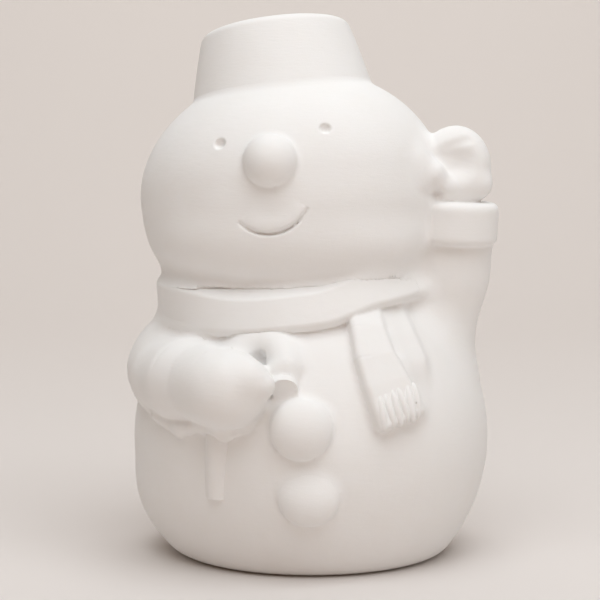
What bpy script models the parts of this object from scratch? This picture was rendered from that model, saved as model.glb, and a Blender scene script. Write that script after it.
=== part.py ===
"""Slip-cast ceramic snowman: hollow body, head and hat, scarf, two arms and a candy cane.

Every length is in millimetres and is turned into metres when a mesh is made. The front is -Y.
"""

from math import acos, asin, cos, pi, radians, sin, sqrt

import bpy
from mathutils import Matrix, Vector

for stale in list(bpy.data.objects):
    bpy.data.objects.remove(stale, do_unlink=True)

# ---- driving dimensions -------------------------------------------------------------------

MM = 0.001
STAND = Vector((-0.5, 5.3, 0.0))  # from the body's own axis to the middle of the whole figure
SLIP_GAP = 0.3  # thickness of the slip joint between two neighbouring pieces
WALL = 4.0  # cast wall of the three hollow pieces

BODY_RADIUS = 54.9
BODY_HEIGHT = 36.3  # centre of the body's sphere above the table
FOOT_FILLET = 3.0
POUR_HOLE = 12.5
NECK_HOLE = 25.0

HEAD_CENTRE = Vector((-6.0, 0.0, 112.8))
HEAD_ROLL = -7.5
HEAD_PITCH = -8.0
HEAD_WIDE = 46.7
HEAD_DEEP = 44.0
HEAD_CROWN = 36.4
HEAD_CHIN = 30.8
DOUBLE_CHIN_CENTRE = Vector((-5.0, -13.0, 98.5))  # the full underside that rests on the scarf
DOUBLE_CHIN_RADII = (36.0, 24.5, 17.0)
CROWN_POWER = 1.94
CHIN_POWER = 2.9
HEAD_NECK_HOLE = 24.0
HEAD_CROWN_HOLE = 17.0

HAT_BASE = Vector((-8.8, 3.8, 141.2))
HAT_ROLL = -6.8
HAT_PITCH = -8.5
HAT_BASE_RADIUS = 27.9
HAT_TOP_RADIUS = 22.8
HAT_HEIGHT = 20.9
HAT_RIM = 3.2

NOSE_RADIUS = 7.9
NOSE_AT = (-4.7, 3.5)  # x and z on the face, from the head's centre
EYES_AT = ((-18.7, 11.2), (12.2, 11.3))
EYE_RADIUS = 1.9
EYE_DEPTH = 2.8
SMILE_CENTRE = (-6.4, -4.9)
SMILE_RADIUS = 12.2
SMILE_FROM = -143.0
SMILE_TO = -34.0
SMILE_GROOVE = 0.8

BUTTONS = (
    ("upper_button", (-3.1, 45.6), (8.7, 6.6, 8.7), 0.3),
    ("lower_button", (-0.9, 25.2), (8.4, 5.2, 7.7), -0.9),
)

COLLAR_CENTRE = Vector((-4.2, -1.0, 76.8))
COLLAR_ROLL = -6.5
COLLAR_PITCH = 4.0
COLLAR_RADIUS = 31.2
COLLAR_HALF_THICK = 10.9
COLLAR_HALF_TALL = 9.3
COLLAR_POWER = 2.8

# Scarf ends: x and z of each point down the cloth, and the half width there.
TAIL_ROUTE = (
    (15.2, 79.0, 4.0),
    (17.4, 71.1, 4.4),
    (19.4, 64.3, 5.0),
    (22.3, 57.4, 5.8),
    (24.8, 51.7, 6.3),
    (26.7, 46.5, 6.4),
)
UNDER_ROUTE = (
    (22.6, 78.5, 4.0),
    (26.6, 70.0, 4.4),
    (29.6, 63.5, 4.2),
    (31.2, 57.5, 3.2),
)
TAIL_HALF_THICK = 2.6
TAIL_LIFT = 1.3
UNDER_LIFT = -0.2
FRINGE_CUTS = 5
FRINGE_PITCH = 2.1

CANE_RADIUS = 3.9
HOOK_CENTRE = (-15.6, 61.2)
HOOK_RADIUS = 7.7
SHAFT_ROUTE = ((-24.9, 52.5, 3.4), (-27.2, 41.7, 1.3), (-27.9, 33.0, 0.5), (-28.1, 24.5, -0.3))

RIGHT_ARM = (
    ((-32.0, 6.0, 66.0), 10.5),
    ((-37.0, 2.0, 66.0), 11.3),
    ((-41.8, -4.0, 61.8), 12.0),
    ((-43.5, -11.0, 57.8), 12.5),
    ((-42.5, -21.0, 56.2), 12.5),
    ((-38.5, -33.0, 56.0), 12.0),
    ((-31.0, -45.0, 56.0), 11.3),
)
RIGHT_MITTEN_CENTRE = Vector((-23.6, -54.0, 55.2))
RIGHT_MITTEN_RADII = (11.8, 11.5, 12.4)
RIGHT_THUMB = (((-22.0, -59.0, 58.5), 5.0), ((-18.5, -60.0, 59.0), 4.7), ((-15.2, -60.0, 58.8), 4.0))

LEFT_ARM = (
    ((30.0, -4.0, 52.0), 13.0),
    ((35.5, -4.5, 62.0), 13.3),
    ((39.8, -6.0, 76.0), 12.2),
    ((42.0, -7.6, 88.0), 11.7),
    ((43.3, -9.1, 99.0), 11.6),
)
CUFF_CENTRE = Vector((43.6, -9.5, 102.2))
CUFF_ROLL = 3.0
CUFF_PITCH = 3.0
CUFF_WIDE = 13.2
CUFF_DEEP = 12.2
CUFF_HALF_TALL = 5.9
CUFF_EDGE = 1.8
LEFT_MITTEN_CENTRE = Vector((43.3, -10.0, 119.0))
LEFT_MITTEN_RADII = (10.9, 7.8, 12.9)
PALM_CENTRE = Vector((43.0, -19.5, 119.5))
PALM_RADII = (6.8, 5.2, 8.2)
LEFT_THUMB = (((35.5, -15.5, 109.5), 3.6), ((36.6, -17.6, 113.2), 3.7), ((37.6, -18.2, 117.0), 3.5))

# ---- frames and points --------------------------------------------------------------------

BODY_CENTRE = Vector((0.0, 0.0, BODY_HEIGHT))


def frame(centre, roll, pitch):
    """Local axes of a tilted piece: roll leans it sideways and pitch leans it back."""
    lean = Matrix.Rotation(radians(roll), 4, "Y") @ Matrix.Rotation(radians(pitch), 4, "X")
    return Matrix.Translation(centre) @ lean


HEAD_FRAME = frame(HEAD_CENTRE, HEAD_ROLL, HEAD_PITCH)
HAT_FRAME = frame(HAT_BASE, HAT_ROLL, HAT_PITCH)
COLLAR_FRAME = frame(COLLAR_CENTRE, COLLAR_ROLL, COLLAR_PITCH)
CUFF_FRAME = frame(CUFF_CENTRE, CUFF_ROLL, CUFF_PITCH)


def on_body(x, z, lift=0.0):
    """The point of the body's front at x and z, moved out along the surface normal."""
    rise = z - BODY_HEIGHT
    out = Vector((x, -sqrt(BODY_RADIUS**2 - x**2 - rise**2), rise)).normalized()
    return BODY_CENTRE + out * (BODY_RADIUS + lift)


def on_head(x, z, lift=0.0):
    """The point of the face at x and z of the head's own axes."""
    tall, power = (HEAD_CROWN, CROWN_POWER) if z > 0 else (HEAD_CHIN, CHIN_POWER)
    girth = (1.0 - (abs(z) / tall) ** power) ** (1.0 / power)
    depth = HEAD_DEEP * sqrt(girth**2 - (x / HEAD_WIDE) ** 2)
    return HEAD_FRAME @ Vector((x, -depth - lift, z))


# ---- meshes -------------------------------------------------------------------------------


def make(name, points, faces, colour=None):
    """One object from points in millimetres; without a colour it is a hidden cutter."""
    mesh = bpy.data.meshes.new(name)
    mesh.from_pydata([tuple((p + STAND) * MM) for p in points], [], faces)
    mesh.validate()
    volume = 0.0
    for face in faces:
        for second, third in zip(face[1:-1], face[2:]):
            volume += points[face[0]].dot(points[second].cross(points[third]))
    if volume < 0.0:
        mesh.flip_normals()
    part = bpy.data.objects.new(name, mesh)
    bpy.context.scene.collection.objects.link(part)
    if colour is None:
        part.hide_render = True
        part.display_type = "WIRE"
        return part
    material = bpy.data.materials.new(f"{name}_bisque")
    material.use_nodes = True
    shader = material.node_tree.nodes["Principled BSDF"]
    shader.inputs["Base Color"].default_value = (*colour, 1.0)
    shader.inputs["Roughness"].default_value = 0.85
    mesh.materials.append(material)
    mesh.shade_smooth()
    mesh.set_sharp_from_angle(angle=radians(40.0))
    return part


def skin(name, rings, looped=False, colour=None):
    """Joins rings of equal length; open ends are closed with a fan, a looped skin has none."""
    sides = len(rings[0])
    points = [p for ring in rings for p in ring]
    faces = []
    last = len(rings) if looped else len(rings) - 1
    for k in range(last):
        low, high = k * sides, (k + 1) % len(rings) * sides
        for j in range(sides):
            after = (j + 1) % sides
            faces.append((low + j, low + after, high + after, high + j))
    if not looped:
        for start, ring, flip in ((0, rings[0], True), ((len(rings) - 1) * sides, rings[-1], False)):
            centre = sum(ring, Vector()) / sides
            points.append(centre)
            for j in range(sides):
                edge = (start + j, start + (j + 1) % sides)
                faces.append((*(edge[::-1] if flip else edge), len(points) - 1))
    return make(name, points, faces, colour)


def turned(name, profile, sides, place, looped=False, colour=None):
    """A turned piece from (x radius, y radius, height) rows."""
    rings = []
    for wide, deep, height in profile:
        angles = [2.0 * pi * j / sides for j in range(sides)]
        rings.append([place @ Vector((wide * cos(a), deep * sin(a), height)) for a in angles])
    return skin(name, rings, looped, colour)


def ellipsoid(name, centre, radii, grow=0.0, sides=28, rows=14, lean=0.0, colour=None):
    wide, deep, tall = (r + grow for r in radii)
    profile = []
    for k in range(rows + 1):
        angle = -pi / 2 + pi * (k + 0.25) / (rows + 0.5)
        profile.append((wide * cos(angle), deep * cos(angle), tall * sin(angle)))
    return turned(name, profile, sides, frame(centre, lean, 0.0), colour=colour)


def loft(name, route, around, grow=0.0, sides=20, power=2.0, flat_end=False, colour=None):
    """A round or flattened bar along points; each row of the route is point, half width, half thickness.

    around(point) gives the direction of the bar's thickness there.
    """
    turns = [2.0 * pi * j / sides for j in range(sides)]
    shape = [
        (
            abs(cos(t)) ** (2 / power) * (1 if cos(t) > 0 else -1),
            abs(sin(t)) ** (2 / power) * (1 if sin(t) > 0 else -1),
        )
        for t in turns
    ]
    rings = []
    count = len(route)
    for k, (point, wide, thick) in enumerate(route):
        ahead = (route[min(k + 1, count - 1)][0] - route[max(k - 1, 0)][0]).normalized()
        across = ahead.cross(around(point)).normalized()
        out = across.cross(ahead)
        wide, thick = wide + grow, thick + grow
        steps = [(0.0, 1.0)]
        bulge = min(wide, thick)
        if k == 0:
            steps = [(-bulge * sin(a), cos(a)) for a in (1.3, 0.9, 0.45)] + steps
        elif k == count - 1 and not flat_end:
            steps += [(bulge * sin(a), cos(a)) for a in (0.45, 0.9, 1.3)]
        elif k == count - 1:
            steps += [(grow, 1.0)] if grow else []
        for along, size in steps:
            centre = point + ahead * along
            rings.append([centre + across * (wide * size * u) + out * (thick * size * v) for u, v in shape])
    return skin(name, rings, colour=colour)


def from_body(point):
    return (point - BODY_CENTRE).normalized()


def forward(point):
    return Vector((0.0, -1.0, 0.0))


def round_route(rows):
    return [(Vector(point), radius, radius) for point, radius in rows]


def smooth_route(rows, steps=3):
    """Catmull-Rom points through the rows, so that a bend has more rings."""
    out = []
    for k in range(len(rows) - 1):
        four = [rows[max(k - 1, 0)], rows[k], rows[k + 1], rows[min(k + 2, len(rows) - 1)]]
        for s in range(steps):
            t = s / steps
            weights = (
                (-t + 2 * t**2 - t**3) / 2,
                (2 - 5 * t**2 + 3 * t**3) / 2,
                (t + 4 * t**2 - 3 * t**3) / 2,
                (-(t**2) + t**3) / 2,
            )
            blend = [[value * w for value in row] for row, w in zip(four, weights)]
            out.append(tuple(sum(column[1:], column[0]) for column in zip(*blend)))
    return out + [rows[-1]]


# ---- forms that are both pieces and cutters -----------------------------------------------


def body_rows(radius, fillet, foot, first, last, steps):
    """Rows of the sphere between two heights' angles, after the fillet of the foot."""
    rows = []
    reach = sqrt((radius - fillet) ** 2 - (BODY_HEIGHT - fillet - foot) ** 2)
    for k in range(4):
        angle = -pi / 2 + (first + pi / 2) * k / 4
        rows.append((reach + fillet * cos(angle), foot + fillet + fillet * sin(angle)))
    for k in range(steps + 1):
        angle = first + (last - first) * k / steps
        rows.append((radius * cos(angle), BODY_HEIGHT + radius * sin(angle)))
    return [(r, r, z) for r, z in rows]


def foot_angle(radius, fillet, foot):
    return -asin((BODY_HEIGHT - fillet - foot) / (radius - fillet))


def body_form(name, grow):
    radius = BODY_RADIUS + grow
    first = foot_angle(radius, FOOT_FILLET, -grow)
    rows = body_rows(radius, FOOT_FILLET, -grow, first, 1.54, 24)
    return turned(name, rows, 56, Matrix())


def head_rows(grow, low, high, steps):
    """Rows of the head from the opening radius low, over the cheeks, to the radius high."""
    wide, deep = HEAD_WIDE + grow, HEAD_DEEP + grow
    rows = []
    for tall, power, hole, side in (
        (HEAD_CHIN + grow, CHIN_POWER, low, -1),
        (HEAD_CROWN + grow, CROWN_POWER, high, 1),
    ):
        start = acos((hole / wide) ** (power / 2))
        angles = [start * k / steps for k in range(steps + 1)]
        part = [(cos(a) ** (2 / power), side * tall * sin(a) ** (2 / power)) for a in angles]
        part = [(wide * girth, deep * girth, height) for girth, height in part]
        rows = part[::-1] if side < 0 else rows + part[1:]
    return rows


def head_form(name, grow):
    return turned(name, head_rows(grow, 1.0, 1.0, 13), 56, HEAD_FRAME)


def collar_form(name, grow, colour=None):
    rows = []
    for k in range(18):
        angle = 2.0 * pi * k / 18
        u = abs(cos(angle)) ** (2 / COLLAR_POWER) * (1 if cos(angle) > 0 else -1)
        v = abs(sin(angle)) ** (2 / COLLAR_POWER) * (1 if sin(angle) > 0 else -1)
        radius = COLLAR_RADIUS + (COLLAR_HALF_THICK + grow) * u
        rows.append((radius, radius, (COLLAR_HALF_TALL + grow) * v))
    return turned(name, rows, 56, COLLAR_FRAME, looped=True, colour=colour)


def cuff_form(name, grow, colour=None):
    half = CUFF_HALF_TALL + grow
    rows = []
    for side in (-1, 1):
        steps = [0.0, 0.4, 0.8, 1.2, pi / 2]
        edge = [(CUFF_EDGE * (1 - cos(a)), half - CUFF_EDGE * (1 - sin(a))) for a in steps]
        wide, deep = CUFF_WIDE + grow, CUFF_DEEP + grow
        edge = [(wide - inset, deep - inset, side * height) for inset, height in edge]
        rows += edge[::-1] if side < 0 else edge
    return turned(name, rows, 36, CUFF_FRAME, colour=colour)


def tail_form(name, route, lift, grow, colour=None):
    rows = [(on_body(x, z, lift), half, TAIL_HALF_THICK) for x, z, half in route]
    return loft(name, smooth_route(rows), from_body, grow, sides=20, power=3.2, colour=colour)


def cane_form(name, grow, colour=None):
    rows = [(on_body(x, z, lift), CANE_RADIUS, CANE_RADIUS) for x, z, lift in reversed(SHAFT_ROUTE)]
    for k in range(8):
        angle = pi - pi * k / 7
        x = HOOK_CENTRE[0] + HOOK_RADIUS * cos(angle)
        z = HOOK_CENTRE[1] + HOOK_RADIUS * sin(angle)
        lift = 1.9 + 2.4 * max(0.0, k - 3) / 4
        rows.append((on_body(x, z, lift), CANE_RADIUS, CANE_RADIUS))
    tip = rows[-1][0]
    rows.append((tip + Vector((0.2, -2.4, -2.6)), CANE_RADIUS, CANE_RADIUS))
    return loft(name, smooth_route(rows, 2), from_body, grow, flat_end=True, colour=colour)


def cut(part, *others):
    for other in others:
        step = part.modifiers.new(other.name, "BOOLEAN")
        step.operation = "DIFFERENCE"
        step.solver = "EXACT"
        step.object = other


def join(part, other):
    step = part.modifiers.new(other.name, "BOOLEAN")
    step.operation = "UNION"
    step.solver = "EXACT"
    step.object = other


# ---- the figure ---------------------------------------------------------------------------

BISQUE = (0.86, 0.84, 0.80)
SHADE = {"head": (0.87, 0.85, 0.81), "cloth": (0.85, 0.83, 0.79), "hand": (0.86, 0.84, 0.79)}

body_room = body_form("cut_body", SLIP_GAP)
head_room = head_form("cut_head", SLIP_GAP)
join(head_room, ellipsoid("cut_chin", DOUBLE_CHIN_CENTRE, DOUBLE_CHIN_RADII, SLIP_GAP))
collar_room = collar_form("cut_collar", SLIP_GAP)
cuff_room = cuff_form("cut_cuff", SLIP_GAP)
cane_room = cane_form("cut_cane", SLIP_GAP)

# Body: outer skin from the pour hole round to the neck, then the inner skin back down.
first = foot_angle(BODY_RADIUS, FOOT_FILLET, 0.0)
outer = body_rows(BODY_RADIUS, FOOT_FILLET, 0.0, first, acos(NECK_HOLE / BODY_RADIUS), 13)
inner_radius = BODY_RADIUS - WALL
first = foot_angle(inner_radius, FOOT_FILLET, WALL)
inner = body_rows(inner_radius, FOOT_FILLET, WALL, first, acos(NECK_HOLE / inner_radius), 9)
rows = [(POUR_HOLE, POUR_HOLE, 0.0)] + outer + inner[::-1] + [(POUR_HOLE, POUR_HOLE, WALL)]
body = turned("body_shell", rows, 56, Matrix(), looped=True, colour=BISQUE)

# Head: open at the neck and under the hat; it sits on the body along a ring inside the scarf.
rows = head_rows(0.0, HEAD_NECK_HOLE, HEAD_CROWN_HOLE, 8)
rows += head_rows(-WALL, HEAD_NECK_HOLE, HEAD_CROWN_HOLE, 5)[::-1]
head = turned("head_shell", rows, 56, HEAD_FRAME, looped=True, colour=SHADE["head"])
chin = ellipsoid("add_chin", DOUBLE_CHIN_CENTRE, DOUBLE_CHIN_RADII, sides=40)
neck = [(HEAD_NECK_HOLE + 0.5, HEAD_NECK_HOLE + 0.5, height) for height in (-45.0, 5.0)]
cut(chin, head_form("cut_head_hollow", 1.0 - WALL), turned("cut_neck", neck, 40, HEAD_FRAME))
join(head, chin)
cut(head, body_room)
for index, (x, z) in enumerate(EYES_AT):
    rows = [(on_head(x, z, 1.0), EYE_RADIUS * 1.35, EYE_RADIUS * 1.35)]
    rows.append((on_head(x, z, -EYE_DEPTH), 0.5, 0.5))
    cut(head, loft(f"cut_eye_{index}", rows, lambda point: Vector((0, 0, 1)), sides=14))
rows = []
for k in range(13):
    angle = radians(SMILE_FROM + (SMILE_TO - SMILE_FROM) * k / 12)
    spot = (SMILE_CENTRE[0] + SMILE_RADIUS * cos(angle), SMILE_CENTRE[1] + SMILE_RADIUS * sin(angle))
    size = SMILE_GROOVE * (0.45 + 0.55 * sin(pi * k / 12))
    rows.append((on_head(*spot), size, size))
cut(head, loft("cut_smile", rows, forward, sides=8))

# Hat: a brimless tapered crown, hollow from below.
edge = [radians(a) for a in (0, 22, 45, 68, 90)]
slope = (HAT_BASE_RADIUS - HAT_TOP_RADIUS) / HAT_HEIGHT
shell = [(HAT_BASE_RADIUS + 2.0 * slope, -2.0)]
shell += [
    (HAT_TOP_RADIUS + 0.6 - HAT_RIM * (1 - cos(a)), HAT_HEIGHT - HAT_RIM * (1 - sin(a))) for a in edge
]
under = [(1.0, HAT_HEIGHT - WALL), (HAT_TOP_RADIUS - WALL - 1.5, HAT_HEIGHT - WALL)]
under += [(HAT_TOP_RADIUS - WALL, HAT_HEIGHT - WALL - 2.0), (HAT_BASE_RADIUS - WALL, -5.0)]
rows = [(1.0, HAT_HEIGHT)] + [row for row in shell[::-1]] + [(HAT_BASE_RADIUS + 1.2, -5.0)] + under[::-1]
rows = [(r, r, z) for r, z in rows]
hat = turned("hat_shell", rows, 56, HAT_FRAME, colour=BISQUE)
cut(hat, head_room)

nose_at = on_head(*NOSE_AT, -0.9)
nose = ellipsoid("nose", nose_at, (NOSE_RADIUS,) * 3, sides=32, rows=18, colour=SHADE["head"])
cut(nose, head_room)

for name, (x, z), radii, lift in BUTTONS:
    button = ellipsoid(name, on_body(x, z, lift), radii, rows=16, colour=BISQUE)
    cut(button, body_room)

collar = collar_form("scarf_collar", 0.0, SHADE["cloth"])
cut(collar, body_room, head_room)

tail = tail_form("scarf_tail", TAIL_ROUTE, TAIL_LIFT, 0.0, SHADE["cloth"])
cut(tail, body_room, collar_room)
for k in range(FRINGE_CUTS):
    side = (k - (FRINGE_CUTS - 1) / 2) * FRINGE_PITCH
    rows = []
    for x, z, half in TAIL_ROUTE[3:]:
        out = from_body(on_body(x, z))
        across = Vector((0.88, 0.0, 0.47)).cross(out).cross(out).normalized() * -1.0
        rows.append((on_body(x, z, TAIL_LIFT + TAIL_HALF_THICK) + across * side, 0.6, 1.3))
    rows[0] = (rows[1][0].lerp(rows[0][0], 0.35), 0.5, 0.5)
    end = rows[-1][0] + (rows[-1][0] - rows[-2][0]).normalized() * 5.0
    rows.append((end - from_body(end) * 1.0, 0.7, 2.2))
    cut(tail, loft(f"cut_fringe_{k}", rows, from_body, sides=8))

tail_room = tail_form("cut_tail", TAIL_ROUTE, TAIL_LIFT, SLIP_GAP)
under_tail = tail_form("scarf_tail_under", UNDER_ROUTE, UNDER_LIFT, 0.0, SHADE["cloth"])
cut(under_tail, body_room, collar_room, tail_room)

cane = cane_form("candy_cane", 0.0, BISQUE)
cut(cane, body_room, collar_room)

mitten_room = ellipsoid("cut_right_mitten", RIGHT_MITTEN_CENTRE, RIGHT_MITTEN_RADII, SLIP_GAP, rows=16)
right_arm = loft("right_arm", smooth_route(round_route(RIGHT_ARM), 2), from_body, sides=24, colour=BISQUE)
cut(right_arm, body_room, collar_room, mitten_room, cane_room)
right_mitten = ellipsoid(
    "right_mitten", RIGHT_MITTEN_CENTRE, RIGHT_MITTEN_RADII, rows=16, colour=SHADE["hand"]
)
right_thumb = loft("add_right_thumb", round_route(RIGHT_THUMB), from_body, sides=16)
join(right_mitten, right_thumb)
cut(right_mitten, body_room, cane_room)

left_route = smooth_route(round_route(LEFT_ARM), 2)
left_arm = loft("left_arm", left_route, forward, sides=24, flat_end=True, colour=BISQUE)
cut(left_arm, body_room, collar_room, head_room, cuff_room)
cuff = cuff_form("left_cuff", 0.0, SHADE["cloth"])
cut(cuff, head_room)
left_mitten = ellipsoid(
    "left_mitten", LEFT_MITTEN_CENTRE, LEFT_MITTEN_RADII, rows=16, lean=4.0, colour=SHADE["hand"]
)
palm = ellipsoid("cut_palm", PALM_CENTRE, PALM_RADII, sides=20, rows=10, lean=8.0)
left_thumb = loft("add_left_thumb", round_route(LEFT_THUMB), forward, sides=14)
cut(left_mitten, palm)
join(left_mitten, left_thumb)
cut(left_mitten, head_room, cuff_room)
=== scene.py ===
from math import cos, pi, radians, sin

import bmesh
import bpy
import numpy as np
from mathutils import Matrix, Vector


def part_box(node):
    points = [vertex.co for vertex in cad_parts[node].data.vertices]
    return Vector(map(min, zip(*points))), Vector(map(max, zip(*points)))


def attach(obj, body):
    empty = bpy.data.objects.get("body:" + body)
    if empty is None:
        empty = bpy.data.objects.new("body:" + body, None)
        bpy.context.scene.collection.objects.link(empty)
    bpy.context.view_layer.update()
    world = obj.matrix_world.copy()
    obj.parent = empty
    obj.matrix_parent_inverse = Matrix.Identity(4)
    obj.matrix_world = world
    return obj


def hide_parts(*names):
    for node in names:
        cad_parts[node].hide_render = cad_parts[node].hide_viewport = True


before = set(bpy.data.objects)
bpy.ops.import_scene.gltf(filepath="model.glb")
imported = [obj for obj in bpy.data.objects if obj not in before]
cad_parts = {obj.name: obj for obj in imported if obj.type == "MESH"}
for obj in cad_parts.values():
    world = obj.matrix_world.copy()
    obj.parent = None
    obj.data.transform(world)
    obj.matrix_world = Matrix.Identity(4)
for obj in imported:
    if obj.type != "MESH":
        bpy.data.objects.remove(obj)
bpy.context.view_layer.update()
print("stage: CAD frame loaded")

mm = 0.001

# Everything below is laid out in millimetres from the middle of the body's foot.
footLow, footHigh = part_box("body_shell")
footMiddle = np.array([(footLow.x + footHigh.x) / 2, (footLow.y + footHigh.y) / 2, 0.0]) / mm


def lean(roll, pitch):
    # Axes of a piece that leans sideways by roll and back by pitch.
    turn = Matrix.Rotation(radians(roll), 3, "Y") @ Matrix.Rotation(radians(pitch), 3, "X")
    return np.array(turn)


def unit(v):
    v = np.asarray(v, float)
    return v / np.linalg.norm(v)


# soft clay shapes: each gives the distance of points p to its skin, in millimetres


def softJoin(a, b, k):
    h = np.maximum(k - np.abs(a - b), 0.0) / k
    return np.minimum(a, b) - h * h * k / 4


def softCut(a, b, k):
    # a with b pressed out of it
    return -softJoin(-a, b, k)


def ramp(v, low, high):
    t = np.clip((v - low) / (high - low), 0.0, 1.0)
    return t * t * (3 - 2 * t)


def egg(p, centre, radii, axes=None):
    q = p - np.asarray(centre, np.float32)
    if axes is not None:
        q = q @ axes.astype(np.float32)
    radii = np.asarray(radii, np.float32)
    size = np.linalg.norm(q / radii, axis=1)
    slope = np.linalg.norm(q / (radii * radii), axis=1) + 1e-6
    return size * (size - 1) / slope


def roll(p, a, b, ra, rb):
    # a round clay roll that tapers from ra to rb
    a, b = np.asarray(a, np.float32), np.asarray(b, np.float32)
    along = b - a
    t = np.clip((p - a) @ along / (along @ along), 0.0, 1.0)
    return np.linalg.norm(p - a - t[:, None] * along, axis=1) - (ra + (rb - ra) * t)


def limb(p, stops, k):
    # rolls joined softly end to end; each stop is a point and a radius
    out = None
    for (a, ra), (b, rb) in zip(stops, stops[1:]):
        piece = roll(p, a, b, ra, rb)
        out = piece if out is None else softJoin(out, piece, k)
    return out


body = {
    "radius": 54.9,
    "height": 36.3,
    "footRound": 3.2,
    "pourHole": 12.5,
    "hollow": ((0.0, 0.0, 32.0), (36.0, 36.0, 27.5)),
    "swell": ((-8.3, 2.0, 21.0), (44.8, 43.0, 26.5)),
}
bodyMiddle = np.array([0.0, 0.0, body["height"]])


def bodyShape(p):
    ball = np.linalg.norm(p - bodyMiddle.astype(np.float32), axis=1) - body["radius"]
    ball = softJoin(ball, egg(p, *body["swell"]), 6.0)
    return softCut(ball, p[:, 2], body["footRound"])


def onBody(x, z, lift=0.0):
    rise = z - body["height"]
    out = unit((x, -np.sqrt(body["radius"] ** 2 - x * x - rise * rise), rise))
    return bodyMiddle + out * (body["radius"] + lift)


head = {
    "middle": np.array([-6.0, 0.0, 112.8]),
    "axes": lean(-7.5, -8.0),
    "wide": 46.7,
    "deep": 44.0,
    "crown": 36.4,
    "chin": 30.8,
    "crownPower": 1.94,
    "chinPower": 2.9,
    "doubleChin": ((-5.0, -17.0, 98.6), (39.0, 26.5, 17.3)),
}


def headShape(p):
    q = (p - head["middle"].astype(np.float32)) @ head["axes"].astype(np.float32)
    wide, deep = head["wide"], head["deep"]
    girth = np.sqrt((q[:, 0] / wide) ** 2 + (q[:, 1] / deep) ** 2) + 1e-5
    up = q[:, 2] > 0
    n = np.where(up, head["crownPower"], head["chinPower"])
    tall = np.where(up, head["crown"], head["chin"])
    v = np.abs(q[:, 2]) / tall + 1e-5
    size = (girth**n + v**n) ** (1 / n)
    inGirth = (girth / size) ** (n - 1) / girth
    inTall = (v / size) ** (n - 1) / tall
    flat = (q[:, 0] / wide**2) ** 2 + (q[:, 1] / deep**2) ** 2
    skull = (size - 1) / np.sqrt(inGirth**2 * flat + inTall**2)
    return softJoin(skull, egg(p, *head["doubleChin"]), 4.0)


def headPoint(x, z, lift=0.0):
    # the point of the face at x and z of the head's own axes
    tall, n = (head["crown"], head["crownPower"]) if z > 0 else (head["chin"], head["chinPower"])
    girth = (1 - (abs(z) / tall) ** n) ** (1 / n)
    depth = head["deep"] * np.sqrt(girth**2 - (x / head["wide"]) ** 2)
    return head["middle"] + head["axes"] @ np.array([x, -depth - lift, z])


face = {
    "eyes": ((-18.7, 11.2), (12.2, 11.3)),
    "eyeSize": (1.7, 2.0, 1.6),
    "smileMiddle": (-6.4, -4.9),
    "smileRadius": 12.2,
    "smileFrom": -143.0,
    "smileTo": -30.0,
    "smileDepth": 1.7,
    "smileWidth": 0.52,
    "smileReach": 24,  # beyond this the head's skin is left alone
    "pillow": 0.65,
}


def smileGap(p):
    # distance to the middle line of the smile as seen from the front, and how far along it
    local = (p - head["middle"].astype(np.float32)) @ head["axes"].astype(np.float32)
    side = local[:, 0] - face["smileMiddle"][0]
    rise = local[:, 2] - face["smileMiddle"][1]
    first, last = radians(face["smileFrom"]), radians(face["smileTo"])
    half = (last - first) / 2
    turn = (np.arctan2(rise, side) - first - half + pi) % (2 * pi) - pi
    turn = np.clip(turn, -half, half)
    spot = turn + first + half
    radius = face["smileRadius"]
    gap = np.hypot(side - radius * np.cos(spot), rise - radius * np.sin(spot))
    return gap + 99.0 * (local[:, 1] > -20), (turn + half) / (2 * half)


def faceDetail(p, skin):
    # eye dimples, smile groove and the soft pillow over the smile, pressed into the head's skin
    for x, z in face["eyes"]:
        spot = headPoint(x, z, 0.1)
        skin = softCut(skin, egg(p, spot, face["eyeSize"], head["axes"]), 0.6)
    middleX, middleZ = face["smileMiddle"]
    below = headPoint(middleX, middleZ - 6).astype(np.float32)
    close = np.linalg.norm(p - below, axis=1) < face["smileReach"]
    if close.any():
        q = p[close]
        gap, share = smileGap(q)
        fade = np.sqrt(np.clip(np.sin(pi * np.clip(share, 0.0, 1.0)), 0, 1))
        bump = face["pillow"] * np.exp(-(((gap - 2.2) / 2.6) ** 2)) * fade
        local = (q - head["middle"].astype(np.float32)) @ head["axes"].astype(np.float32)
        inside = np.hypot(local[:, 0] - middleX, local[:, 2] - middleZ)
        bump = bump * ramp(face["smileRadius"] - inside, -0.6, 0.6)
        groove = face["smileDepth"] * np.exp(-((gap / face["smileWidth"]) ** 2)) * fade
        skin[close] = skin[close] - bump + groove
    return skin


nose = {"at": (-4.7, 3.5), "lift": -0.9, "radius": 7.9}
noseMiddle = headPoint(*nose["at"], nose["lift"])


def noseShape(p):
    return np.linalg.norm(p - noseMiddle.astype(np.float32), axis=1) - nose["radius"]


buttons = {
    "upperButton": {"at": (-3.1, 45.6), "lift": 0.3, "size": (8.9, 6.4, 8.9)},
    "lowerButton": {"at": (-0.9, 25.2), "lift": -0.9, "size": (8.6, 5.0, 7.8)},
}


def buttonShape(name):
    def shape(p):
        b = buttons[name]
        return egg(p, onBody(*b["at"], b["lift"]), b["size"])

    return shape


collar = {
    "middle": np.array([-3.8, -1.4, 76.8]),
    "axes": lean(-6.5, 4.0),
    "ring": 31.2,
    "core": ((-9.3, 14.0), (7.6, 7.6), (10.2, 0.7), (9.7, 0.0), (-9.3, -6.2)),
    "rounding": 1.6,
    "lift": 3.0,
    "stretch": 0.42,
    "lean": 0.22,
}


def collarLift(x):
    # the scarf rides up towards the raised arm
    return collar["lift"] * ramp(x, 6.0, 26.0)


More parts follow.
